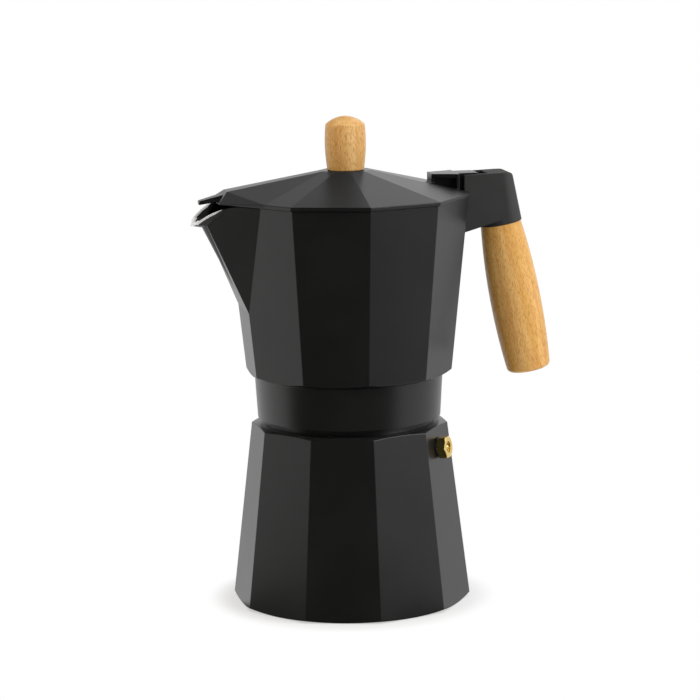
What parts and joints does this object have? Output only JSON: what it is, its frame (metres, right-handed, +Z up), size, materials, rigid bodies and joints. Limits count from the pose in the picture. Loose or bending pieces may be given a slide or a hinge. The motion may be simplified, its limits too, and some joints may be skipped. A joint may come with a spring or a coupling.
{
  "type": "moka pot",
  "caption": "Stove-top moka pot: ten-sided black boiler and collector on a screw thread, hinged lid over a pouring spout, wooden grip and knob, brass safety valve.",
  "frame": {"origin": "centre of the boiler's flat base, on the surface it stands on", "axes": "+Z up along the pot's axis, +X towards the handle, -X towards the spout"},
  "size_m": [0.1605, 0.11, 0.215],
  "materials": {
    "black_coat": "cast aluminium under a satin black coating",
    "bracket_coat": "satin black coating",
    "bare_aluminium": "satin",
    "steel": "satin",
    "brass": "polished, slightly worn",
    "seal_rubber": "matt pale rubber",
    "valve_rubber": "matt",
    "beech": "sanded, clear satin varnish"
  },
  "bodies": {
    "boiler": {"boiler": "black_coat", "funnel": "bare_aluminium", "funnel_sieve": "bare_aluminium", "valve_body": "brass", "valve_gasket": "valve_rubber", "valve_seat": "brass", "valve_spring": "steel"},
    "seal": {"gasket": "seal_rubber", "filter_plate": "bare_aluminium"},
    "collector": {"collector": "black_coat", "column_cap": "bare_aluminium", "handle_bracket": "bracket_coat", "bracket_pin": "steel", "hinge_pin": "steel", "grip": "beech", "grip_washer": "steel", "grip_bolt": "steel"},
    "lid": {"lid": "black_coat", "lid_knob": "beech", "knob_washer": "steel", "knob_screw": "steel"},
    "valve_pin": {"valve_plunger": "brass"}
  },
  "joints": [
    {"name": "collector_lift", "type": "slide", "parent": "boiler", "child": "seal", "axis": [0, 0, 1], "range_m": [0, 0.0162]},
    {"name": "collector_turn", "type": "hinge", "parent": "seal", "child": "collector", "pos_m": [0, 0, 0.1], "axis": [0, 0, 1], "range_deg": [0, 1440]},
    {"name": "lid_hinge", "type": "hinge", "parent": "collector", "child": "lid", "pos_m": [0.05701, 0, 0.1846], "axis": [0, 1, 0], "range_deg": [0, 100]},
    {"name": "valve_travel", "type": "slide", "parent": "boiler", "child": "valve_pin", "axis": [0.8313, -0.544, 0.1139], "range_m": [0, 0.0012], "stiffness_N_per_m": 2000, "springref_m": -0.0016, "deforming": ["valve_spring"]}
  ],
  "couplings": [
    {"joint": "collector_lift", "follows": "collector_turn", "m_per_rad": 0.00063662}
  ]
}
